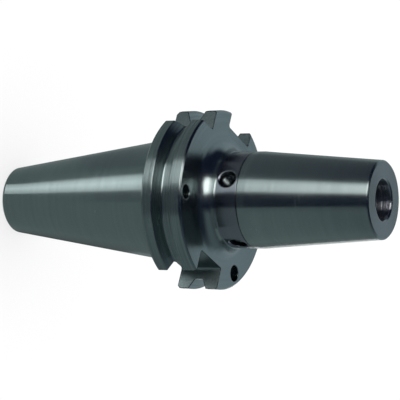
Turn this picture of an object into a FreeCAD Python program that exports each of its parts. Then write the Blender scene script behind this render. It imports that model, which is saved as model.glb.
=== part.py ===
import FreeCAD, Part
import math
import os

import Sketcher

os.makedirs("parts", exist_ok=True)

# A shrink fit tool holder with a steep 7/24 taper of size 40. The Z axis is the tool axis,
# the origin is the centre of the gauge plane, and the nose points up. The deeper of the two
# drive slots lies on +X.

doc = FreeCAD.newDocument("shrink_fit_holder")
sheet = doc.addObject("Spreadsheet::Sheet", "Sizes")

# Edges are matched to their calculated places within this distance, in millimetres.
MATCH = 1e-4

# Driving dimensions in millimetres and degrees: alias, value, what it is.
SIZES = (
    ("gauge_diameter", 44.45, "taper diameter at the gauge plane"),
    ("taper_rise", 7, "taper: change of diameter"),
    ("taper_run", 24, "taper: over this length"),
    ("taper_length", 68.4, "gauge plane down to the small end"),
    ("small_end_chamfer", 0.3, "chamfer round the small end"),
    ("root_height", 0.8, "taper runs on this far above the gauge plane"),
    ("root_depth", 0.35, "undercut below the gauge radius, under the flange"),
    ("flange_diameter", 63.55, "flange rim"),
    ("flange_rear", 3.2, "gauge plane to rear face of the flange"),
    ("flange_front", 19.1, "gauge plane to front face of the flange"),
    ("rear_rim_chamfer", 0.9, "chamfer on the rear edge of the flange"),
    ("front_rim_chamfer", 0.6, "chamfer on the front edge of the flange"),
    ("groove_height", 11.1, "gauge plane to the middle of the gripper groove"),
    ("groove_rim_width", 7.07, "width of the gripper groove at the rim"),
    ("groove_angle", 60, "angle between the flanks of the gripper groove"),
    ("groove_depth", 3.65, "depth of the gripper groove below the rim"),
    ("groove_corner_radius", 0.5, "radius in the two bottom corners of the groove"),
    ("slot_width", 16.1, "width of both drive slots"),
    ("deep_slot_clearance", 0.575, "gauge radius to the floor of the slot on +X"),
    ("shallow_slot_clearance", 2.775, "gauge radius to the floor of the slot on -X"),
    ("slot_corner_radius", 1, "radius between slot floor and slot walls"),
    ("notch_offset", 18.5, "tool axis to each wall of the orientation notch"),
    ("notch_corner_radius", 0.4, "radius in the corner of the notch"),
    ("collar_diameter", 34, "collar and large end of the nose cone"),
    ("neck_step", 0.3, "how far the neck stands out from the collar"),
    ("neck_land", 0.2, "straight land between the neck fillet and the collar"),
    ("neck_margin", 0.8, "foot of the neck fillet to the floor of the deep slot"),
    ("collar_length", 8, "collar from the neck to the marking line"),
    ("line_width", 0.3, "width of the marking line above the collar"),
    ("line_depth", 0.15, "depth of the marking line"),
    ("nose_land", 2.9, "straight length between the marking line and the cone"),
    ("projection", 80, "gauge plane to the nose face"),
    ("nose_angle", 4.5, "slope of the nose cone"),
    ("tip_chamfer", 0.5, "chamfer round the nose face"),
    ("tool_diameter", 14, "clamping bore"),
    ("tool_depth", 47, "depth of the clamping bore"),
    ("mouth_chamfer", 0.45, "chamfer at the mouth of the clamping bore"),
    ("stop_thread_diameter", 10, "outer diameter of the stop screw thread"),
    ("stop_thread_depth", 25, "length of the stop screw thread"),
    ("coolant_diameter", 7, "coolant bore through the shank"),
    ("drawbar_thread_diameter", 16, "outer diameter of the drawbar thread"),
    ("drawbar_thread_end", 40, "small end to the end of the drawbar thread"),
    ("drawbar_thread_pitch", 2, "pitch of the drawbar thread; its core hole is smaller by this"),
    ("drawbar_core_run", 3.4, "core hole past the end of the drawbar thread"),
    ("pilot_step", 0.5, "how far the pilot bore stands outside the drawbar thread"),
    ("pilot_depth", 8, "depth of the pilot bore"),
    ("pilot_chamfer", 1, "chamfer at the mouth of the pilot bore"),
    ("balance_thread_diameter", 6, "outer diameter of the balancing threads"),
    ("balance_thread_depth", 8, "depth of the balancing threads"),
    ("balance_sink", 0.5, "countersink of the balancing threads"),
    ("balance_count", 4, "balancing threads round the collar"),
    ("drill_angle", 118, "point angle of the drilled holes"),
    ("drill_wide_diameter", 6, "wide balance drilling"),
    ("drill_wide_inset", 4.5, "rim to the middle of the wide drilling"),
    ("drill_wide_angle", 41, "angle of the wide drilling from +X"),
    ("drill_narrow_diameter", 4.9, "narrow balance drilling"),
    ("drill_narrow_inset", 3.9, "rim to the middle of the narrow drilling"),
    ("drill_narrow_angle", -70.5, "angle of the narrow drilling from +X"),
    ("screw_length", 16, "length of the stop screw"),
    ("screw_recess", 1, "end of the clamping bore to the top of the screw"),
    ("screw_chamfer", 0.6, "chamfer on both ends of the screw"),
    ("screw_clearance", 0.05, "radial clearance of the screw in its thread"),
    ("socket_width", 5, "hexagon socket across flats"),
    ("socket_depth", 6, "depth of the hexagon socket"),
    ("jet_diameter", 3.5, "coolant hole through the screw"),
    ("overrun", 2, "how far a cutting tool runs past what it cuts"),
)

for row, (alias, value, note) in enumerate(SIZES, start=1):
    sheet.set("A" + str(row), note)
    sheet.set("B" + str(row), str(value))
    sheet.setAlias("B" + str(row), alias)
doc.recompute()


def size(alias):
    """Return one driving dimension as a plain number."""
    return float(sheet.get(alias))


# Places that more than one feature needs, as expressions of the sheet's dimensions.
RIM = "Sizes.flange_diameter / 2"
GROOVE_BOTTOM = "(" + RIM + " - Sizes.groove_depth)"
GROOVE_SLOPE = "tan(Sizes.groove_angle * 0.5deg)"
COLLAR = "Sizes.collar_diameter / 2"
NECK = "(" + COLLAR + " + Sizes.neck_step)"
DEEP_FLOOR = "(Sizes.gauge_diameter / 2 + Sizes.deep_slot_clearance)"
SHALLOW_FLOOR = "(Sizes.gauge_diameter / 2 + Sizes.shallow_slot_clearance)"
NECK_FILLET = "(" + DEEP_FLOOR + " - Sizes.neck_margin - " + NECK + ")"
COLLAR_START = "Sizes.flange_front + " + NECK_FILLET + " + Sizes.neck_land + Sizes.neck_step"
TOOL_END = "Sizes.projection - Sizes.tool_depth"


def origin_feature(body, role):
    """Return the plane or axis of a body's own origin that plays this role."""
    for feature in body.Origin.OriginFeatures:
        if feature.Role == role:
            return feature
    raise ValueError(role)


def new_sketch(body, name, plane, lift_axis=None, lift=None):
    """Attach a sketch to an origin plane, moved along one of its own axes by an expression."""
    sketch = body.newObject("Sketcher::SketchObject", name)
    sketch.AttachmentSupport = [(origin_feature(body, plane), "")]
    sketch.MapMode = "FlatFace"
    if lift:
        sketch.setExpression("AttachmentOffset.Base." + lift_axis, lift)
    return sketch


def pin_point(sketch, geometry, position, across, along):
    """Tie a point of the sketch to the sketch origin by two expressions."""
    for kind, expression in (("DistanceX", across), ("DistanceY", along)):
        number = sketch.addConstraint(Sketcher.Constraint(kind, -1, 1, geometry, position, 1.0))
        sketch.setExpression("Constraints[" + str(number) + "]", expression)


def draw_polygon(sketch, corners):
    """Close straight lines through corners, each given as a pair of expressions."""
    count = len(corners)
    turn = 2 * math.pi / count
    start = [FreeCAD.Vector(math.cos(i * turn), math.sin(i * turn), 0) for i in range(count)]
    lines = [Part.LineSegment(start[i], start[(i + 1) % count]) for i in range(count)]
    first = sketch.addGeometry(lines, False)[0]
    for i in range(count):
        following = first + (i + 1) % count
        sketch.addConstraint(Sketcher.Constraint("Coincident", first + i, 2, following, 1))
    for i, (across, along) in enumerate(corners):
        pin_point(sketch, first + i, 1, across, along)


def draw_circle(sketch, diameter, across, along):
    """Draw a circle whose diameter and centre follow expressions."""
    circle = Part.Circle(FreeCAD.Vector(0, 0, 0), FreeCAD.Vector(0, 0, 1), 1)
    number = sketch.addGeometry(circle, False)
    limit = sketch.addConstraint(Sketcher.Constraint("Diameter", number, 2.0))
    sketch.setExpression("Constraints[" + str(limit) + "]", diameter)
    pin_point(sketch, number, 3, across, along)


def revolve(body, kind, name, sketch, axis):
    """Turn a sketch once round one of its own axes, as material or as a cut."""
    feature = body.newObject(kind, name)
    feature.Profile = sketch
    feature.ReferenceAxis = (sketch, [axis])
    feature.Angle = 360
    doc.recompute()
    return feature


def circle_edges(shape, radius, height):
    """Name the circular edges round the tool axis with this radius and height."""
    names = []
    for number, edge in enumerate(shape.Edges, start=1):
        curve = edge.Curve
        if not isinstance(curve, Part.Circle) or abs(curve.Radius - radius) > MATCH:
            continue
        if abs(curve.Center.z - height) < MATCH and math.hypot(curve.Center.x, curve.Center.y) < MATCH:
            names.append("Edge" + str(number))
    return names


def upright_edges(shape, places):
    """Name the straight edges along Z that pass through these places."""
    names = []
    for number, edge in enumerate(shape.Edges, start=1):
        ends = [vertex.Point for vertex in edge.Vertexes]
        if len(ends) != 2 or math.hypot(ends[0].x - ends[1].x, ends[0].y - ends[1].y) > MATCH:
            continue
        if any(math.hypot(ends[0].x - x, ends[0].y - y) < MATCH for x, y in places):
            names.append("Edge" + str(number))
    return names


def round_edges(body, name, edges, radius):
    """Round the named edges of the body's last feature by a radius given as an expression."""
    if not edges:
        raise ValueError(name + " found no edges")
    base = body.Tip
    feature = body.newObject("PartDesign::Fillet", name)
    feature.Base = (base, edges)
    feature.setExpression("Radius", radius)
    doc.recompute()


def cut_upward(body, name, sketch, depth):
    """Cut a sketch from its plane along +Z by a depth given as an expression."""
    before = body.Shape.Volume
    pocket = body.newObject("PartDesign::Pocket", name)
    pocket.Profile = sketch
    pocket.Reversed = True
    pocket.setExpression("Length", depth)
    doc.recompute()
    if not pocket.Shape.Volume < before:
        raise ValueError(name + " cuts nothing")


def outer_profile():
    """Half section of the holder from the small end of the taper to the nose face."""
    rear_radius = "(Sizes.gauge_diameter - Sizes.taper_length * Sizes.taper_rise / Sizes.taper_run) / 2"
    chamfer_drop = "Sizes.small_end_chamfer * Sizes.taper_rise / Sizes.taper_run / 2"
    root_radius = "Sizes.gauge_diameter / 2 - Sizes.root_depth"
    root_rise = "Sizes.root_height * Sizes.taper_rise / Sizes.taper_run / 2"
    line_start = COLLAR_START + " + Sizes.collar_length"
    cone_start = line_start + " + Sizes.line_width + Sizes.nose_land"
    nose_slope = "tan(Sizes.nose_angle * 1deg)"
    tip = COLLAR + " - (Sizes.projection - (" + cone_start + ")) * " + nose_slope
    chamfer_rise = "Sizes.tip_chamfer * " + nose_slope
    return (
        ("0", "-Sizes.taper_length"),
        (rear_radius + " - Sizes.small_end_chamfer", "-Sizes.taper_length"),
        (rear_radius + " + " + chamfer_drop, "-Sizes.taper_length + Sizes.small_end_chamfer"),
        ("Sizes.gauge_diameter / 2 + " + root_rise, "Sizes.root_height"),
        (root_radius, "Sizes.root_height + Sizes.root_depth + " + root_rise),
        (root_radius, "Sizes.flange_rear"),
        (RIM + " - Sizes.rear_rim_chamfer", "Sizes.flange_rear"),
        (RIM, "Sizes.flange_rear + Sizes.rear_rim_chamfer"),
        (RIM, "Sizes.flange_front - Sizes.front_rim_chamfer"),
        (RIM + " - Sizes.front_rim_chamfer", "Sizes.flange_front"),
        (NECK, "Sizes.flange_front"),
        (NECK, "Sizes.flange_front + " + NECK_FILLET + " + Sizes.neck_land"),
        (COLLAR, COLLAR_START),
        (COLLAR, line_start),
        (COLLAR + " - Sizes.line_depth", line_start + " + Sizes.line_width / 2"),
        (COLLAR, line_start + " + Sizes.line_width"),
        (COLLAR, cone_start),
        (tip + " + " + chamfer_rise, "Sizes.projection - Sizes.tip_chamfer"),
        (tip + " - Sizes.tip_chamfer", "Sizes.projection"),
        ("0", "Sizes.projection"),
    )


def bore_profile():
    """Half section of everything bored along the tool axis, from the rear to the nose."""
    rear = "-Sizes.taper_length"
    thread = "Sizes.drawbar_thread_diameter / 2"
    thread_end = rear + " + Sizes.drawbar_thread_end"
    pilot = thread + " + Sizes.pilot_step"
    core = "(Sizes.drawbar_thread_diameter - Sizes.drawbar_thread_pitch) / 2"
    core_end = thread_end + " + Sizes.drawbar_core_run"
    coolant = "Sizes.coolant_diameter / 2"
    cone = "(" + core + " - " + coolant + ") / tan(Sizes.drill_angle * 0.5deg)"
    stop_thread = "Sizes.stop_thread_diameter / 2"
    stop_thread_end = TOOL_END + " - Sizes.stop_thread_depth"
    tool = "Sizes.tool_diameter / 2"
    return (
        ("0", rear + " - Sizes.overrun"),
        (pilot + " + Sizes.pilot_chamfer + Sizes.overrun", rear + " - Sizes.overrun"),
        (pilot, rear + " + Sizes.pilot_chamfer"),
        (pilot, rear + " + Sizes.pilot_depth"),
        (thread, rear + " + Sizes.pilot_depth"),
        (thread, thread_end),
        (core, thread_end),
        (core, core_end),
        (coolant, core_end + " + " + cone),
        (coolant, stop_thread_end),
        (stop_thread, stop_thread_end),
        (stop_thread, TOOL_END),
        (tool, TOOL_END),
        (tool, "Sizes.projection - Sizes.mouth_chamfer"),
        (tool + " + Sizes.mouth_chamfer + Sizes.overrun", "Sizes.projection + Sizes.overrun"),
        ("0", "Sizes.projection + Sizes.overrun"),
    )


def gripper_groove_profile():
    """Trapezoid of the groove between the two rings of the flange, run out past the rim."""
    middle = "Sizes.groove_height"
    narrow = "(Sizes.groove_rim_width / 2 - Sizes.groove_depth * " + GROOVE_SLOPE + ")"
    wide = "(Sizes.groove_rim_width / 2 + Sizes.overrun * " + GROOVE_SLOPE + ")"
    return (
        (GROOVE_BOTTOM, middle + " - " + narrow),
        (RIM + " + Sizes.overrun", middle + " - " + wide),
        (RIM + " + Sizes.overrun", middle + " + " + wide),
        (GROOVE_BOTTOM, middle + " + " + narrow),
    )


def balance_thread_profile():
    """Half section of one balancing hole, from its drill point out past the collar."""
    radius = "Sizes.balance_thread_diameter / 2"
    bottom = COLLAR + " - Sizes.balance_thread_depth"
    return (
        (bottom + " - " + radius + " / tan(Sizes.drill_angle * 0.5deg)", "0"),
        (bottom, radius),
        (COLLAR + " - Sizes.balance_sink", radius),
        (COLLAR + " + Sizes.overrun", radius + " + Sizes.balance_sink + Sizes.overrun"),
        (COLLAR + " + Sizes.overrun", "0"),
    )


def slot_outline(side, floor):
    """Rectangle of a drive slot seen along the axis, from its floor out past the rim."""
    half = "Sizes.slot_width / 2"
    inner = side + floor
    outer = side + "(" + RIM + " + Sizes.overrun)"
    return ((inner, "-" + half), (outer, "-" + half), (outer, half), (inner, half))


def notch_outline():
    """Square of the orientation notch, run out past the rim."""
    inner = "-Sizes.notch_offset"
    outer = "-(" + RIM + " + Sizes.overrun)"
    return ((inner, inner), (outer, inner), (outer, outer), (inner, outer))


def add_drilling(body, name, which):
    """Drill one blind hole into the flange face, as deep as the front ring is wide at its rim."""
    sketch = new_sketch(body, name + "_place", "XY_Plane", "z", "Sizes.flange_front")
    reach = "(" + RIM + " - Sizes." + which + "_inset)"
    turn = "(Sizes." + which + "_angle * 1deg)"
    draw_circle(sketch, "Sizes." + which + "_diameter", reach + " * cos" + turn, reach + " * sin" + turn)
    doc.recompute()
    before = body.Shape.Volume
    hole = body.newObject("PartDesign::Hole", name)
    hole.Profile = sketch
    hole.DepthType = "Dimension"
    hole.DrillPoint = "Angled"
    hole.setExpression("DrillPointAngle", "Sizes.drill_angle")
    hole.setExpression("Diameter", "Sizes." + which + "_diameter")
    hole.setExpression("Depth", "Sizes.flange_front - Sizes.groove_height - Sizes.groove_rim_width / 2")
    doc.recompute()
    if not hole.Shape.Volume < before:
        raise ValueError(name + " cuts nothing")


def make_holder_body():
    """Turn, bore and mill the one-piece holder."""
    body = doc.addObject("PartDesign::Body", "holder_body")
    body.Label = "holder_body"

    outline = new_sketch(body, "outer_section", "XZ_Plane")
    draw_polygon(outline, outer_profile())
    revolve(body, "PartDesign::Revolution", "turned_blank", outline, "V_Axis")
    neck = size("collar_diameter") / 2 + size("neck_step")
    inner_edge = circle_edges(body.Tip.Shape, neck, size("flange_front"))
    round_edges(body, "neck_round", inner_edge, NECK_FILLET)

    groove = new_sketch(body, "gripper_groove_section", "XZ_Plane")
    draw_polygon(groove, gripper_groove_profile())
    revolve(body, "PartDesign::Groove", "gripper_groove", groove, "V_Axis")
    bottom = size("flange_diameter") / 2 - size("groove_depth")
    slope = math.tan(math.radians(size("groove_angle") / 2))
    half_bottom = size("groove_rim_width") / 2 - size("groove_depth") * slope
    corners = []
    for height in (size("groove_height") - half_bottom, size("groove_height") + half_bottom):
        corners += circle_edges(body.Tip.Shape, bottom, height)
    round_edges(body, "groove_corners", corners, "Sizes.groove_corner_radius")

    bores = new_sketch(body, "bore_section", "XZ_Plane")
    draw_polygon(bores, bore_profile())
    revolve(body, "PartDesign::Groove", "bores", bores, "V_Axis")

    through = "Sizes.flange_front + Sizes.overrun"
    half = size("slot_width") / 2
    gauge = size("gauge_diameter") / 2
    slots = (
        ("deep_slot", "", DEEP_FLOOR, gauge + size("deep_slot_clearance")),
        ("shallow_slot", "-", SHALLOW_FLOOR, -gauge - size("shallow_slot_clearance")),
    )
    for name, sign, floor, place in slots:
        sketch = new_sketch(body, name + "_outline", "XY_Plane")
        draw_polygon(sketch, slot_outline(sign, floor))
        cut_upward(body, name, sketch, through)
        edges = upright_edges(body.Tip.Shape, ((place, half), (place, -half)))
        round_edges(body, name + "_corners", edges, "Sizes.slot_corner_radius")

    sketch = new_sketch(body, "notch_outline", "XY_Plane")
    draw_polygon(sketch, notch_outline())
    cut_upward(body, "orientation_notch", sketch, through)
    offset = -size("notch_offset")
    edges = upright_edges(body.Tip.Shape, ((offset, offset),))
    round_edges(body, "notch_corner", edges, "Sizes.notch_corner_radius")

    lift = COLLAR_START + " + Sizes.collar_length / 2"
    sketch = new_sketch(body, "balance_thread_section", "XZ_Plane", "y", lift)
    draw_polygon(sketch, balance_thread_profile())
    hole = revolve(body, "PartDesign::Groove", "balance_thread", sketch, "H_Axis")
    ring = body.newObject("PartDesign::PolarPattern", "balance_threads")
    ring.Originals = [hole]
    ring.Axis = (origin_feature(body, "Z_Axis"), [""])
    ring.Angle = 360
    ring.setExpression("Occurrences", "Sizes.balance_count")
    body.Tip = ring
    doc.recompute()

    add_drilling(body, "wide_drilling", "drill_wide")
    add_drilling(body, "narrow_drilling", "drill_narrow")
    return body


def make_stop_screw():
    """Turn the screw that sets how deep the tool goes, seated below the clamping bore."""
    body = doc.addObject("PartDesign::Body", "length_stop_screw")
    body.Label = "length_stop_screw"
    radius = "(Sizes.stop_thread_diameter / 2 - Sizes.screw_clearance)"
    jet = "Sizes.jet_diameter / 2"
    shank = new_sketch(body, "screw_section", "XZ_Plane")
    draw_polygon(shank, (
        (jet, "0"),
        (radius + " - Sizes.screw_chamfer", "0"),
        (radius, "Sizes.screw_chamfer"),
        (radius, "Sizes.screw_length - Sizes.screw_chamfer"),
        (radius + " - Sizes.screw_chamfer", "Sizes.screw_length"),
        (jet, "Sizes.screw_length"),
    ))
    revolve(body, "PartDesign::Revolution", "screw_blank", shank, "V_Axis")

    socket = new_sketch(body, "socket_outline", "XY_Plane", "z", "Sizes.screw_length - Sizes.socket_depth")
    corner = "Sizes.socket_width / 2 / cos(30deg)"
    draw_polygon(socket, [
        (corner + " * cos(" + str(60 * i) + "deg)", corner + " * sin(" + str(60 * i) + "deg)")
        for i in range(6)
    ])
    cut_upward(body, "hexagon_socket", socket, "Sizes.socket_depth + Sizes.overrun")
    body.setExpression("Placement.Base.z", TOOL_END + " - Sizes.screw_recess - Sizes.screw_length")
    doc.recompute()
    return body


def write_parts(bodies):
    """Check every object and solid, then write one file for each sub-part."""
    doc.recompute()
    for thing in doc.Objects:
        if "Invalid" in thing.State or "Error" in thing.State:
            raise RuntimeError(thing.Name + " failed")
    for body in bodies:
        shape = body.Shape
        if shape.isNull() or not shape.isValid() or len(shape.Solids) != 1:
            raise RuntimeError(body.Label + " is not one valid solid")
    for body in bodies:
        body.Shape.exportStep("parts/" + body.Label + ".step")
        box = body.Shape.BoundBox
        print(body.Label, round(body.Shape.Volume, 1), round(box.ZMin, 3), round(box.ZMax, 3))


write_parts([make_holder_body(), make_stop_screw()])
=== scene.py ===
import math

import bmesh
import bpy
from mathutils import Matrix, Vector


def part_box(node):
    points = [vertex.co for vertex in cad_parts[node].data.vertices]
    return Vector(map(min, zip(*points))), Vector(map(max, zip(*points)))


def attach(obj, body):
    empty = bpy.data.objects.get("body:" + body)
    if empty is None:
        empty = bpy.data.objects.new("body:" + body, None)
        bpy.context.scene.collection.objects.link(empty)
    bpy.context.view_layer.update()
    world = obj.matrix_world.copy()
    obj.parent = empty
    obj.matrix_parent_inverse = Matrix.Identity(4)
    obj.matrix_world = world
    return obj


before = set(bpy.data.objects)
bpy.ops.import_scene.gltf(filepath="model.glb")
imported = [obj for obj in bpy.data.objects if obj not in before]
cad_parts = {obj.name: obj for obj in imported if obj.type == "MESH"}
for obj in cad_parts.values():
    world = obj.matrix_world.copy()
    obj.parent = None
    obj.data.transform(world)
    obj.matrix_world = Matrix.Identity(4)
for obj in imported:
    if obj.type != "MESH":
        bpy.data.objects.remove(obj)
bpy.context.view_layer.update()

# The origin is the centre of the gauge plane, and +Z runs along the tool axis to the nose.
# Lengths are in metres, and MM turns a drawing size into metres.
MM = 0.001
LOW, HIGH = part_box("holder_body")
FLOOR_HEIGHT = LOW.z
FLOOR_REACH = 6.0
FLANGE_REAR = 3.2 * MM
FLANGE_FRONT = 19.1 * MM
SLOT_HALF_WIDTH = 16.1 * MM / 2
SLOT_FLOOR = 22.8 * MM
RING_RADIUS = 27.8 * MM
NOTCH_OFFSET = 18.5 * MM
COLLAR_LOW = 24.3 * MM
COLLAR_TOP = 32.3 * MM
COLLAR_RADIUS = 34 * MM / 2
LINE_WIDTH = 0.3 * MM
LINE_DEPTH = 0.15 * MM
BORE_RADIUS = 14 * MM / 2
BORE_FLOOR = HIGH.z - 47 * MM
BALANCE_COUNT = 4
BALANCE_RADIUS = 6 * MM / 2
BALANCE_PITCH = 1 * MM
BALANCE_DEPTH = 8 * MM
BALANCE_SINK = 0.5 * MM
BALANCE_HEIGHT = (COLLAR_LOW + COLLAR_TOP) / 2
DRAWBAR_RADIUS = 16 * MM / 2
DRAWBAR_PITCH = 2 * MM
DRAWBAR_LOW = LOW.z + 8 * MM
DRAWBAR_TOP = LOW.z + 40 * MM

# A thread's ridge: steps in a turn, and half the width of its foot and of its tip in pitches.
THREAD_STEPS = 40
THREAD_FOOT = 0.44
THREAD_TIP = 0.05

# The camera that fits the photograph: a long lens above the nose side, lying on its side so
# that the tool axis runs across the picture. Angles are in degrees, the picture's width and the
# focal length are in pixels, and the sensor's width is in millimetres.
IMAGE_WIDTH = 400
FOCAL_PIXELS = 1706
SENSOR_WIDTH = 36
CAMERA_TURN = -64.65
CAMERA_RISE = 29.04
CAMERA_DISTANCE = 0.6084
CAMERA_AIM_HEIGHT = 0.00917
NEAREST_SEEN = 0.01

# The colour of the steel in its different finishes, and of painted shade. All colours are linear.
GROUND_DARK = (0.200, 0.252, 0.252, 1)
GROUND_LIGHT = (0.230, 0.288, 0.285, 1)
COLLAR_STEEL = (0.157, 0.175, 0.205, 1)
MILLED_STEEL = (0.175, 0.230, 0.240, 1)
BORE_STEEL = (0.350, 0.390, 0.440, 1)
FACE_STEEL = (0.164, 0.201, 0.206, 1)
# Painted shade for the dark line at the collar's top and along the edges of the cuts.
PAINTED_LINE_SHADE = (0.020, 0.025, 0.030, 1)
# Painted shade in the roots of the threads.
ROOT_SHADE = (0.012, 0.012, 0.014, 1)
OXIDE_DARK = (0.035, 0.036, 0.040, 1)
OXIDE_LIGHT = (0.070, 0.070, 0.075, 1)

# A mask rises or falls over a soft edge. A finish reaches SKIN past the surface that it covers,
# and deburring reaches EDGE_BREAK over the edges of the slots and the notch.
RISE = (0.0, 1.0)
FALL = (1.0, 0.0)
MASK_SOFT = 0.02 * MM
COLLAR_SOFT = 0.1 * MM
SKIN = 0.05 * MM
EDGE_BREAK = 0.45 * MM

# How fine the marks in the steel are, as the scales of their noise, how deep they are, and how
# strongly they bend the normal. The rings of the bore are deeper than life, so that they break up
# what the bore mirrors.
GRIND_SCALE = 5200
LATHE_SCALE = 1900
BAND_SCALE = 700
MILL_SCALE = 3500
RING_SCALE = 1500
CLOUD_SCALE = 60
GRAIN_SCALE = 2500
GRIND_RELIEF = 0.002 * MM
BORE_RELIEF = 0.35 * MM
THREAD_RELIEF = 0.004 * MM
OXIDE_RELIEF = 0.01 * MM
GRIND_STRENGTH = 0.5
BORE_STRENGTH = 1.0
GRAIN_STRENGTH = 0.4

# Turned marks hardly change round the axis, and milled lines hardly change along it.
ROUND_CHANGE = 0.0006
UPRIGHT_CHANGE = 0.05

# The ranges of a noise that are used, and what they do to the steel's shade and roughness.
NOISE_RANGE = (0.3, 0.7)
LATHE_RANGE = (0.35, 0.65)
CLOUD_RANGE = (0.35, 0.7)
BAND_SHADE = (0.96, 1.04)
LATHE_SHADE = (0.84, 1.12)
GRIND_ROUGHNESS = (0.17, 0.24)
CLOUD_ROUGHNESS = (0.0, 0.05)
THREAD_ROUGHNESS = (0.18, 0.28)
OXIDE_ROUGHNESS = (0.35, 0.5)

# How much of a finish or of painted shade covers the ground steel, and how much duller it makes it.
COLLAR_COVER = 0.8
MILLED_COVER = 0.5
LINE_SHADE_COVER = 0.8
FACE_COVER = 0.9
MILLED_DULLER = 0.12
BORE_DULLER = 0.07
SHADED_EDGE_DULLER = 0.3

# A sharp edge gets painted shade where the rounded normal bends this much. Painted shade in a
# thread's root darkens between these two shares of its depth, counted from the crest, and covers all
# that is deeper.
EDGE_SHADE_BEND = (0.004, 0.03)
EDGE_SHADE_COVER = 0.95
ROOT_SHADE_DEPTH = (0.1, 0.4)
ROOT_SHADE_COVER = 0.97

# The light of the studio's walls, as the steel mirrors it.
WALL_DARK = (0.018, 0.024, 0.052, 1)
WALL_DIM = (0.210, 0.250, 0.270, 1)
WALL_HAZE = (0.075, 0.085, 0.120, 1)
WALL_PALE = (0.430, 0.490, 0.535, 1)
TALL_LIGHT = (4.9, 4.5, 4.4, 1)

# Where the walls begin and end, in degrees: a turn is counted from the camera towards the
# picture's top, and a rise from the level. Each pair of angles is a soft edge.
DIM_LAST_TURN = (-30, -18)
DIM_FOOT_RISE = (-12, 14)
DIM_FOOT_FADE = (0.4, 1.0)
DIM_TOP_RISE = (34, 60)
DIM_TOP_FADE = (1.0, 0.08)
PALE_FIRST_TURN = (122, 139)
PALE_TOP_RISE = (37, 45)
HAZE_FIRST_TURN = (-16, 6)
HAZE_LAST_TURN = (48, 66)
HAZE_COVER = 0.7

# The tall light: its sides, how its first side bends over by some degrees and its last side
# slants, and its foot and top.
LIGHT_FIRST_TURN = (12, 19)
LIGHT_LAST_TURN = (39, 48)
LIGHT_BEND_RISE = (46, 60)
LIGHT_BEND = (0.0, 28.0)
LIGHT_SLANT = 0.2
LIGHT_FOOT_RISE = (-5, 25)
LIGHT_FOOT_FADE = (0.4, 1.0)
LIGHT_TOP_RISE = (48, 62)

# The studio's dome stands round the flange. Its cards lie a little above the floor, and follow
# the round of the steel in steps of no more than CARD_STEP degrees.
STUDIO_RADIUS = 0.53
CARD_LIFT = 1 * MM
CARD_STEP = 3
GREY_CARD_INNER = 12.3 * MM
GREY_CARD_STEPS = 72
WHITE = (1, 1, 1)
GREY = (0.275, 0.320, 0.320)
NOSE_GREY = (0.310, 0.360, 0.360)
PAPER = (0.9, 0.9, 0.9, 1)
PAPER_GLOW = 0.7

# Parts of the floor that a stretch of the steel mirrors to the camera. Each has a near and a far
# edge, given by the steel's radius there, the way from the steel to the edge, and how strong a
# card glows at it.
TAPER_FLOOR = ((0.0123, 0.0, 1.0), (0.023, 0.073, 1.0))
LIGHT_TAPER_FLOOR = ((0.0123, 0.0, 0.86), (0.023, 0.073, 1.3))
UPPER_TAPER_FLOOR = ((0.018, 0.035, 1.0), (0.023, 0.073, 1.0))
FLANGE_FLOOR = ((0.028, 0.122, 1.0), (0.020, 0.165, 1.0))
WIDE_FLANGE_FLOOR = ((0.028, 0.105, 1.0), (0.020, 0.165, 1.0))
NOSE_FLOOR = ((0.015, 0.165, 1.0), (0.015, 0.5, 1.0))
LIGHT_NOSE_FLOOR = ((0.015, 0.165, 0.93), (0.015, 0.5, 1.3))

# The strengths of an even card at its first side, in its middle and at its last side.
EVEN = (1.0, 1.0, 1.0)

# Each card: name, the two angles on the steel that see its sides, its part of the floor, colour
# and strengths. The rim cards dim the steel's lower edge, and the rear cards light it from behind.
CARDS = (
    ("card_light_taper", (10.5, 28), LIGHT_TAPER_FLOOR, WHITE, (1.15, 2.15, 1.25)),
    ("card_dim_taper_low", (-2, 9.3), UPPER_TAPER_FLOOR, (0.20, 0.235, 0.25), EVEN),
    ("card_dim_taper_high", (38, 75), UPPER_TAPER_FLOOR, (0.205, 0.24, 0.25), EVEN),
    ("card_light_flange", (11, 26), FLANGE_FLOOR, WHITE, (0.9, 1.2, 0.9)),
    ("card_dim_flange", (-60, 10.4), WIDE_FLANGE_FLOOR, (0.15, 0.175, 0.195), EVEN),
    ("card_light_nose", (9.5, 24.5), LIGHT_NOSE_FLOOR, WHITE, (1.15, 1.5, 1.15)),
    ("card_dark_nose", (-8.7, 7.5), NOSE_FLOOR, (0.025, 0.035, 0.055), EVEN),
    ("card_grey_nose", (-60, -9.3), NOSE_FLOOR, NOSE_GREY, EVEN),
    ("card_dim_nose", (27, 70), NOSE_FLOOR, (0.17, 0.185, 0.205), EVEN),
    ("card_rim_taper", (-88, -58), TAPER_FLOOR, GREY, (0.25, 0.55, 1.0)),
    ("card_rim_nose", (-88, -60), NOSE_FLOOR, NOSE_GREY, (0.2, 0.45, 0.95)),
    ("card_light_taper_rear", (94, 110), LIGHT_TAPER_FLOOR, WHITE, (0.9, 1.6, 0.9)),
    ("card_light_flange_rear", (94, 110), FLANGE_FLOOR, WHITE, (0.8, 1.1, 0.8)),
    ("card_light_nose_rear", (94, 110), NOSE_FLOOR, WHITE, (1.0, 1.5, 1.0)),
)


def around(turn, radius, height):
    """Point at an angle round the tool axis, counted from the camera towards the picture's top."""
    angle = math.radians(CAMERA_TURN - turn)
    return Vector((radius * math.cos(angle), radius * math.sin(angle), height))


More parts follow.
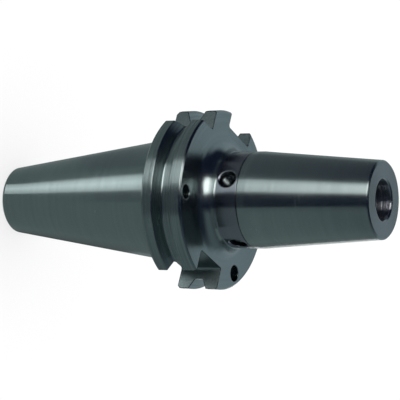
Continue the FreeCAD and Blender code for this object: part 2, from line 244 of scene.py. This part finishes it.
class Graph:
    """The node tree of one material or world, with short calls that add and join nodes."""

    def __init__(self, owner):
        self.owner = owner
        owner.use_nodes = True
        self.tree = owner.node_tree
        self.tree.nodes.clear()

    def add(self, kind, inputs=None, **settings):
        """Add a node, set its properties, and fill its sockets with values or other sockets."""
        node = self.tree.nodes.new(kind)
        for key, value in settings.items():
            setattr(node, key, value)
        for key, value in (inputs or {}).items():
            if isinstance(value, bpy.types.NodeSocket):
                self.tree.links.new(value, node.inputs[key])
            else:
                node.inputs[key].default_value = value
        return node

    def math(self, operation, first, second=0.0):
        """Return the result of one Math node."""
        return self.add("ShaderNodeMath", {0: first, 1: second}, operation=operation).outputs[0]

    def times(self, first, second):
        """Multiply two values, which also joins two masks."""
        return self.math("MULTIPLY", first, second)

    def above(self, value, limit):
        """Mask that is 1 where a value is greater than a limit."""
        return self.math("GREATER_THAN", value, limit)

    def below(self, value, limit):
        """Mask that is 1 where a value is less than a limit."""
        return self.math("LESS_THAN", value, limit)

    def length(self, first, second):
        """Return the length of the hypotenuse over two values."""
        square = self.math("ADD", self.times(first, first), self.times(second, second))
        return self.math("SQRT", square)

    def ramp(self, value, source, target):
        """Carry a value from one range to another, held at its ends."""
        inputs = {"Value": value, "From Min": source[0], "From Max": source[1]}
        inputs.update({"To Min": target[0], "To Max": target[1]})
        return self.add("ShaderNodeMapRange", inputs).outputs["Result"]

    def span(self, value, low, high, soft=MASK_SOFT):
        """Mask that is 1 between two values and 0 outside them."""
        rise = self.ramp(value, (low - soft, low + soft), RISE)
        fall = self.ramp(value, (high - soft, high + soft), FALL)
        return self.times(rise, fall)

    def mix(self, amount, first, second):
        """Mix two values."""
        return self.add("ShaderNodeMix", {0: amount, 2: first, 3: second}).outputs[0]

    def blend(self, amount, first, second):
        """Mix two colours."""
        inputs = {0: amount, 6: first, 7: second}
        return self.add("ShaderNodeMix", inputs, data_type="RGBA").outputs[2]

    def scaled(self, colour, amount):
        """Make a colour lighter or darker."""
        inputs = {0: colour, 3: amount}
        return self.add("ShaderNodeVectorMath", inputs, operation="SCALE").outputs[0]

    def noise(self, vector, scale, detail=2.0, roughness=0.5):
        """Return the value of a Noise Texture."""
        inputs = {"Vector": vector, "Scale": scale, "Detail": detail, "Roughness": roughness}
        return self.add("ShaderNodeTexNoise", inputs).outputs["Fac"]

    def dot(self, first, second):
        """Return the dot product of two vectors."""
        inputs = {0: first, 1: second}
        return self.add("ShaderNodeVectorMath", inputs, operation="DOT_PRODUCT").outputs["Value"]

    def vector(self, x, y, z):
        """Join three values into a vector."""
        return self.add("ShaderNodeCombineXYZ", {"X": x, "Y": y, "Z": z}).outputs["Vector"]

    def bump(self, height, depth, strength, normal=None):
        """Return a normal bent by a height map whose relief is depth metres."""
        inputs = {"Height": height, "Distance": depth, "Strength": strength}
        if normal:
            inputs["Normal"] = normal
        return self.add("ShaderNodeBump", inputs).outputs["Normal"]

    def glow(self, colour, strength):
        """Return a shader that gives off light."""
        inputs = {"Color": colour, "Strength": strength}
        return self.add("ShaderNodeEmission", inputs).outputs[0]

    def cover(self, amount, first, second):
        """Mix two shaders."""
        return self.add("ShaderNodeMixShader", {0: amount, 1: first, 2: second}).outputs[0]

    def finish(self, shader):
        """Put the shader on the material's output."""
        self.add("ShaderNodeOutputMaterial", {"Surface": shader})
        return self.owner


class Place:
    """Where a point of a surface is: its coordinates, distance from the axis and angle round it."""

    def __init__(self, graph):
        self.point = graph.add("ShaderNodeTexCoord").outputs["Object"]
        parts = graph.add("ShaderNodeSeparateXYZ", {"Vector": self.point}).outputs
        self.x, self.y, self.height = parts["X"], parts["Y"], parts["Z"]
        self.radius = graph.length(self.x, self.y)
        self.angle = graph.math("ARCTAN2", self.y, self.x)


def cut_mask(graph, place, margin):
    """Mask of the drive slots and the notch, seen along the tool axis and widened by a margin."""
    slot = graph.times(graph.below(graph.math("ABSOLUTE", place.y), SLOT_HALF_WIDTH + margin),
                       graph.above(graph.math("ABSOLUTE", place.x), SLOT_FLOOR - margin))
    notch = graph.times(graph.below(place.x, margin - NOTCH_OFFSET),
                        graph.below(place.y, margin - NOTCH_OFFSET))
    return graph.math("MAXIMUM", slot, notch)


def finish_masks(graph, place):
    """Masks of the surfaces of the holder that have a finish of their own, and of the collar's top
    line, which gets painted shade.
    """
    in_ring = graph.span(place.height, FLANGE_REAR, FLANGE_FRONT)
    in_line = graph.span(place.height, COLLAR_TOP, COLLAR_TOP + LINE_WIDTH)
    in_bore = graph.above(place.height, BORE_FLOOR)
    return {
        "rings": graph.times(in_ring, graph.above(place.radius, RING_RADIUS)),
        "milled": graph.times(in_ring, cut_mask(graph, place, SKIN)),
        "near cuts": graph.times(in_ring, cut_mask(graph, place, EDGE_BREAK)),
        "collar": graph.span(place.height, COLLAR_LOW, COLLAR_TOP, COLLAR_SOFT),
        # The collar's top line gets painted shade.
        "line": graph.times(in_line, graph.above(place.radius, COLLAR_RADIUS - LINE_DEPTH - SKIN)),
        "bore": graph.times(in_bore, graph.below(place.radius, BORE_RADIUS + SKIN)),
        "face": graph.above(place.height, HIGH.z - SKIN),
    }


def painted_edge_shade(graph, edges, near_cuts):
    """Mask of painted shade on the sharp edges of the cuts, where the rounded normal leaves the
    surface's own.
    """
    flat = graph.add("ShaderNodeNewGeometry").outputs["Normal"]
    bend = graph.math("SUBTRACT", 1.0, graph.dot(edges, flat))
    return graph.times(graph.ramp(bend, EDGE_SHADE_BEND, (0.0, EDGE_SHADE_COVER)), near_cuts)


def turning_shade(graph, turned, on_rings):
    """Light and dark of the turning marks, soft on the cones and stronger on the rings."""
    bands = graph.ramp(graph.noise(turned, BAND_SCALE), NOISE_RANGE, BAND_SHADE)
    lathe = graph.ramp(graph.noise(turned, LATHE_SCALE), LATHE_RANGE, LATHE_SHADE)
    return graph.mix(on_rings, bands, lathe)


def steel_colour(graph, masks, turned, cloud, edge_shade):
    """Colour of the ground steel with the other finishes laid over it, and painted shade on its dark
    lines.
    """
    colour = graph.blend(cloud, GROUND_DARK, GROUND_LIGHT)
    colour = graph.blend(graph.times(masks["collar"], COLLAR_COVER), colour, COLLAR_STEEL)
    colour = graph.blend(graph.times(masks["milled"], MILLED_COVER), colour, MILLED_STEEL)
    colour = graph.scaled(colour, turning_shade(graph, turned, masks["rings"]))
    colour = graph.blend(masks["bore"], colour, BORE_STEEL)
    # Painted shade: a dark line where the collar meets the nose cone.
    colour = graph.blend(graph.times(masks["line"], LINE_SHADE_COVER), colour, PAINTED_LINE_SHADE)
    colour = graph.blend(graph.times(masks["face"], FACE_COVER), colour, FACE_STEEL)
    # Painted shade: dark lines along the edges of the slots and the notch.
    return graph.blend(edge_shade, colour, PAINTED_LINE_SHADE)


def steel_roughness(graph, masks, marks, cloud, edge_shade):
    """Roughness of the ground steel, and what the duller finishes add to it."""
    streaks = graph.ramp(marks, NOISE_RANGE, GRIND_ROUGHNESS)
    haze = graph.ramp(cloud, CLOUD_RANGE, CLOUD_ROUGHNESS)
    rough = graph.math("ADD", streaks, haze)
    duller = ((masks["milled"], MILLED_DULLER), (masks["bore"], BORE_DULLER), (edge_shade, SHADED_EDGE_DULLER))
    for mask, more in duller:
        rough = graph.math("ADD", rough, graph.times(mask, more))
    return rough


def steel_normal(graph, place, masks, marks, edges):
    """Rounded normal of the edges, with the fine marks of grinding, milling and boring in it.

    An end mill leaves upright lines on the walls and floors of the slots and the notch.
    """
    upright = graph.vector(place.x, place.y, graph.times(place.height, UPRIGHT_CHANGE))
    mill_lines = graph.noise(upright, MILL_SCALE, detail=3, roughness=0.6)
    relief = graph.mix(masks["milled"], marks, mill_lines)
    normal = graph.bump(relief, GRIND_RELIEF, GRIND_STRENGTH, edges)
    rings = graph.noise(graph.vector(0.0, 0.0, place.height), RING_SCALE)
    return graph.bump(graph.times(masks["bore"], rings), BORE_RELIEF, BORE_STRENGTH, normal)


def steel_shader(graph, colour, rough, normal):
    """Metal whose gloss is drawn out along the tool axis, across the turning marks."""
    return graph.add("ShaderNodeBsdfPrincipled", {
        "Base Color": colour,
        "Metallic": 1.0,
        "Roughness": rough,
        "Anisotropic": 0.75,
        "Anisotropic Rotation": 0.25,
        "Normal": normal,
        "Tangent": graph.add("ShaderNodeTangent", direction_type="RADIAL", axis="Z").outputs[0],
    }).outputs[0]


def ground_steel():
    """Hardened steel, turned and ground round the tool axis, with milled slots and a honed bore."""
    graph = Graph(bpy.data.materials.new("ground_steel"))
    place = Place(graph)
    masks = finish_masks(graph, place)
    turned = graph.vector(place.radius, place.height, graph.times(place.angle, ROUND_CHANGE))
    marks = graph.noise(turned, GRIND_SCALE, detail=4, roughness=0.7)
    cloud = graph.noise(place.point, CLOUD_SCALE, detail=3)
    edges = graph.add("ShaderNodeBevel", {"Radius": EDGE_BREAK}, samples=8).outputs["Normal"]
    # Painted shade along the sharp edges of the slots and the notch.
    edge_shade = painted_edge_shade(graph, edges, masks["near cuts"])
    colour = steel_colour(graph, masks, turned, cloud, edge_shade)
    rough = steel_roughness(graph, masks, marks, cloud, edge_shade)
    normal = steel_normal(graph, place, masks, marks, edges)
    return graph.finish(steel_shader(graph, colour, rough, normal))


def thread_steel(name, root, crest):
    """Cut steel of a thread, bright on its crest and darkened by painted shade towards its root."""
    graph = Graph(bpy.data.materials.new(name))
    place = Place(graph)
    shade_edge = [crest + share * (root - crest) for share in ROOT_SHADE_DEPTH]
    # Painted shade in the thread's root, darker the deeper it lies.
    root_shade = graph.ramp(place.radius, shade_edge, (0.0, ROOT_SHADE_COVER))
    grain = graph.noise(place.point, GRAIN_SCALE, detail=3)
    colour = graph.blend(root_shade, graph.blend(grain, GROUND_DARK, GROUND_LIGHT), ROOT_SHADE)
    rough = graph.ramp(grain, NOISE_RANGE, THREAD_ROUGHNESS)
    normal = graph.bump(grain, THREAD_RELIEF, GRAIN_STRENGTH)
    return graph.finish(steel_shader(graph, colour, rough, normal))


def screw_steel():
    """Black oxide on a set screw, in patches of black and grey."""
    graph = Graph(bpy.data.materials.new("screw_steel"))
    point = graph.add("ShaderNodeTexCoord").outputs["Object"]
    grain = graph.noise(point, GRAIN_SCALE, detail=4)
    shader = graph.add("ShaderNodeBsdfPrincipled", {
        "Base Color": graph.blend(grain, OXIDE_DARK, OXIDE_LIGHT),
        "Metallic": 1.0,
        "Roughness": graph.ramp(grain, NOISE_RANGE, OXIDE_ROUGHNESS),
        "Normal": graph.bump(grain, OXIDE_RELIEF, GRAIN_STRENGTH),
    })
    return graph.finish(shader.outputs[0])


def floor_paper():
    """White paper that stays pale to the camera and in reflections, and still takes a shadow."""
    graph = Graph(bpy.data.materials.new("floor_paper"))
    rays = graph.add("ShaderNodeLightPath").outputs
    seen = graph.math("MAXIMUM", rays["Is Camera Ray"], rays["Is Glossy Ray"])
    seen = graph.math("MAXIMUM", seen, rays["Is Transmission Ray"])
    paper = graph.add("ShaderNodeBsdfDiffuse", {"Color": PAPER}).outputs[0]
    sheet = graph.cover(graph.times(seen, PAPER_GLOW), paper, graph.glow((*WHITE, 1), 1.0))

    # From beneath, the sheet is clear, so that the small end can be looked at.
    beneath = graph.add("ShaderNodeNewGeometry").outputs["Backfacing"]
    clear = graph.add("ShaderNodeBsdfTransparent").outputs[0]
    return graph.finish(graph.cover(beneath, sheet, clear))


def card_glow(name, colour):
    """Light or dark of a studio card, whose strength is kept at the corners of its mesh."""
    graph = Graph(bpy.data.materials.new(name))
    strength = graph.add("ShaderNodeAttribute", attribute_name="strength").outputs["Fac"]
    return graph.finish(graph.glow((*colour, 1), strength))


def studio_direction(graph):
    """Turn from the camera and rise above the level, in degrees, as seen from the dome's centre."""
    point = graph.add("ShaderNodeTexCoord").outputs["Object"]
    view = graph.add("ShaderNodeVectorMath", {0: point}, operation="NORMALIZE").outputs["Vector"]
    height = graph.add("ShaderNodeSeparateXYZ", {"Vector": view}).outputs["Z"]
    side = graph.dot(view, around(90, 1, 0))
    near = graph.dot(view, around(0, 1, 0))
    turn = graph.math("DEGREES", graph.math("ARCTAN2", side, near))
    return turn, graph.math("DEGREES", graph.math("ARCSINE", height))


def tall_light_mask(graph, turn, rise):
    """Mask of a tall light whose sides lean over, which ends at the top and fades downwards."""
    first = graph.math("SUBTRACT", turn, graph.ramp(rise, LIGHT_BEND_RISE, LIGHT_BEND))
    last = graph.math("SUBTRACT", turn, graph.times(rise, LIGHT_SLANT))
    mask = graph.times(graph.ramp(first, LIGHT_FIRST_TURN, RISE),
                       graph.ramp(last, LIGHT_LAST_TURN, FALL))
    mask = graph.times(mask, graph.ramp(rise, LIGHT_TOP_RISE, FALL))
    return graph.times(mask, graph.ramp(rise, LIGHT_FOOT_RISE, LIGHT_FOOT_FADE))


def studio_walls():
    """Light of the studio as the steel mirrors it.

    The wall behind the holder is pale, the one at the picture's lower side is dim, and the
    camera's side and the upper side are dark. A tall light stands beside the camera.
    """
    graph = Graph(bpy.data.materials.new("studio_walls"))
    turn, rise = studio_direction(graph)
    upper = graph.ramp(rise, DIM_TOP_RISE, DIM_TOP_FADE)
    lower = graph.ramp(rise, DIM_FOOT_RISE, DIM_FOOT_FADE)
    dim = graph.times(graph.ramp(turn, DIM_LAST_TURN, FALL), graph.times(upper, lower))
    behind = graph.ramp(graph.math("ABSOLUTE", turn), PALE_FIRST_TURN, RISE)
    pale = graph.times(behind, graph.ramp(rise, PALE_TOP_RISE, FALL))
    haze = graph.times(graph.ramp(turn, HAZE_FIRST_TURN, RISE),
                       graph.ramp(turn, HAZE_LAST_TURN, FALL))
    colour = graph.blend(dim, WALL_DARK, WALL_DIM)
    colour = graph.blend(graph.times(haze, HAZE_COVER), colour, WALL_HAZE)
    colour = graph.blend(pale, colour, WALL_PALE)
    colour = graph.blend(tall_light_mask(graph, turn, rise), colour, TALL_LIGHT)
    return graph.finish(graph.glow(colour, 1.0))


def new_mesh(name, points, faces):
    """Make a mesh object from points and faces."""
    mesh = bpy.data.meshes.new(name)
    mesh.from_pydata(points, [], faces)
    thing = bpy.data.objects.new(name, mesh)
    bpy.context.scene.collection.objects.link(thing)
    return thing


def thread_ridge(name, root, crest, pitch, length):
    """Helical ridge of an inside thread along local +Z, standing on the wall of its hole."""
    last = length / pitch * THREAD_STEPS
    foot = pitch * THREAD_FOOT
    tip = pitch * THREAD_TIP
    section = ((root, -foot), (crest, -tip), (crest, tip), (root, foot))
    points = []
    for i in range(int(last) + 1):
        angle = 2 * math.pi * i / THREAD_STEPS
        rise = pitch * i / THREAD_STEPS
        fade = max(0.0, min(1.0, i / THREAD_STEPS, (last - i) / THREAD_STEPS))
        for radius, offset in section:
            reach = root - (root - radius) * fade
            points.append((reach * math.cos(angle), reach * math.sin(angle), rise + offset))
    faces = []
    width = len(section)
    for i in range(len(points) // width - 1):
        for j in range(width - 1):
            first = i * width + j
            faces.append((first, first + width, first + width + 1, first + 1))
    return new_mesh(name, points, faces)


def finish_thread(ridge, steel):
    """Give a thread's ridge its steel and fix it to the holder."""
    ridge.data.materials.append(steel)
    ridge.data.shade_flat()
    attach(ridge, "root")


def add_balance_threads():
    """Cut the threads of the four balancing holes, as ridges on their walls."""
    crest = BALANCE_RADIUS - BALANCE_PITCH / 2
    steel = thread_steel("balance_thread_steel", BALANCE_RADIUS, crest)
    inner = COLLAR_RADIUS - BALANCE_DEPTH + BALANCE_PITCH / 2
    length = BALANCE_DEPTH - BALANCE_SINK - BALANCE_PITCH
    lie_down = Matrix.Rotation(math.pi / 2, 4, "Y")
    for number in range(BALANCE_COUNT):
        name = "balance_thread_" + str(number + 1)
        ridge = thread_ridge(name, BALANCE_RADIUS, crest, BALANCE_PITCH, length)
        turn = Matrix.Rotation(2 * math.pi * number / BALANCE_COUNT, 4, "Z")
        ridge.matrix_world = turn @ Matrix.Translation((inner, 0, BALANCE_HEIGHT)) @ lie_down
        finish_thread(ridge, steel)


def add_drawbar_thread():
    """Cut the thread of the drawbar hole, as a ridge on its wall."""
    crest = DRAWBAR_RADIUS - DRAWBAR_PITCH / 2
    steel = thread_steel("drawbar_thread_steel", DRAWBAR_RADIUS, crest)
    length = DRAWBAR_TOP - DRAWBAR_LOW - DRAWBAR_PITCH
    ridge = thread_ridge("drawbar_thread_ridge", DRAWBAR_RADIUS, crest, DRAWBAR_PITCH, length)
    ridge.location = (0, 0, DRAWBAR_LOW + DRAWBAR_PITCH / 2)
    finish_thread(ridge, steel)


def add_floor():
    """Lay a wide pale floor under the small end."""
    signs = ((-1, -1), (1, -1), (1, 1), (-1, 1))
    corners = [(x * FLOOR_REACH, y * FLOOR_REACH, FLOOR_HEIGHT) for x, y in signs]
    floor = new_mesh("floor", corners, [(0, 1, 2, 3)])
    floor.data.materials.append(floor_paper())


def only_mirrored(thing, material):
    """Give a studio piece its glow, and let nothing but reflections see it."""
    material.cycles.emission_sampling = "NONE"
    thing.data.materials.append(material)
    thing.visible_camera = False
    thing.visible_diffuse = False
    thing.visible_transmission = False
    thing.visible_shadow = False


def across(values, share):
    """Value at a share of the way over a few evenly spaced values."""
    place = share * (len(values) - 1)
    first = min(int(place), len(values) - 2)
    return values[first] + (values[first + 1] - values[first]) * (place - first)


def set_strengths(card, strengths):
    """Keep a card's strength at each of its points."""
    card.data.attributes.new("strength", "FLOAT", "POINT").data.foreach_set("value", strengths)
    return card


def add_card(name, angles, part, colour, strengths):
    """Lay a card on a part of the floor, between two angles on the steel.

    A line of sight that meets round steel at an angle leaves it at twice that angle.
    """
    steps = 2 * math.ceil((angles[1] - angles[0]) / CARD_STEP / 2)
    points = []
    glows = []
    for i in range(steps + 1):
        angle = across(angles, i / steps)
        for root, reach, share in part:
            points.append(around(angle, root, FLOOR_HEIGHT + CARD_LIFT) + around(2 * angle, reach, 0))
            glows.append(across(strengths, i / steps) * share)
    faces = [(2 * i, 2 * i + 1, 2 * i + 3, 2 * i + 2) for i in range(steps)]
    card = set_strengths(new_mesh(name, points, faces), glows)
    only_mirrored(card, card_glow(name, colour))


def add_grey_card():
    """Lay an even grey ring round the small end, just under the other cards."""
    points = []
    for i in range(GREY_CARD_STEPS):
        for reach in (GREY_CARD_INNER, STUDIO_RADIUS):
            points.append(around(360 * i / GREY_CARD_STEPS, reach, FLOOR_HEIGHT + CARD_LIFT / 2))
    count = len(points)
    faces = [(i, i + 1, (i + 3) % count, (i + 2) % count) for i in range(0, count, 2)]
    card = set_strengths(new_mesh("card_grey", points, faces), [1.0] * count)
    only_mirrored(card, card_glow("card_grey", GREY))


def add_studio():
    """Set a dome round the flange that carries the studio's walls."""
    shell = bmesh.new()
    bmesh.ops.create_uvsphere(shell, u_segments=64, v_segments=32, radius=STUDIO_RADIUS)
    mesh = bpy.data.meshes.new("studio")
    shell.to_mesh(mesh)
    shell.free()
    dome = bpy.data.objects.new("studio", mesh)
    dome.location.z = FLANGE_FRONT
    bpy.context.scene.collection.objects.link(dome)
    only_mirrored(dome, studio_walls())


def add_camera():
    """Stand the camera where the photograph was taken from, with the tool axis to the right."""
    rise = math.radians(CAMERA_RISE)
    near = around(0, 1, 0)
    side = Vector((0, 0, 1)).cross(near)
    look = -(math.cos(rise) * near + Vector((0, 0, math.sin(rise))))
    aim = Vector((0, 0, CAMERA_AIM_HEIGHT))
    up = -side
    right = look.cross(up)
    data = bpy.data.cameras.new("camera")
    data.sensor_width = SENSOR_WIDTH
    data.lens = FOCAL_PIXELS * SENSOR_WIDTH / IMAGE_WIDTH
    data.clip_start = NEAREST_SEEN
    camera = bpy.data.objects.new("camera", data)
    bpy.context.scene.collection.objects.link(camera)
    turn = Matrix((right, up, -look)).transposed().to_4x4()
    camera.matrix_world = Matrix.Translation(aim - look * CAMERA_DISTANCE) @ turn
    bpy.context.scene.camera = camera


def add_sun(name, turn, rise, strength, spread):
    """Soft light from above for the floor and its shadow, which no reflection shows."""
    light = bpy.data.lights.new(name, "SUN")
    light.energy = strength
    light.angle = math.radians(spread)
    lamp = bpy.data.objects.new(name, light)
    bpy.context.scene.collection.objects.link(lamp)
    lamp.rotation_mode = "QUATERNION"
    rise = math.radians(rise)
    towards = around(turn, math.cos(rise), math.sin(rise))
    lamp.rotation_quaternion = (-towards).to_track_quat("-Z", "Y")
    lamp.visible_glossy = False


def add_world():
    """Fill the room with plain white light, which is also the background."""
    world = bpy.data.worlds.new("room")
    graph = Graph(world)
    inputs = {"Color": (*WHITE, 1), "Strength": 1.0}
    glow = graph.add("ShaderNodeBackground", inputs).outputs[0]
    graph.add("ShaderNodeOutputWorld", {"Surface": glow})
    bpy.context.scene.world = world


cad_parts["holder_body"].data.materials[0] = ground_steel()
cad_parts["length_stop_screw"].data.materials[0] = screw_steel()
add_balance_threads()
add_drawbar_thread()
add_floor()
add_studio()
add_grey_card()
for card in CARDS:
    add_card(*card)
add_sun("overhead", turn=180, rise=60, strength=0.8, spread=40)
add_camera()
add_world()
bpy.context.scene.view_settings.view_transform = "Standard"
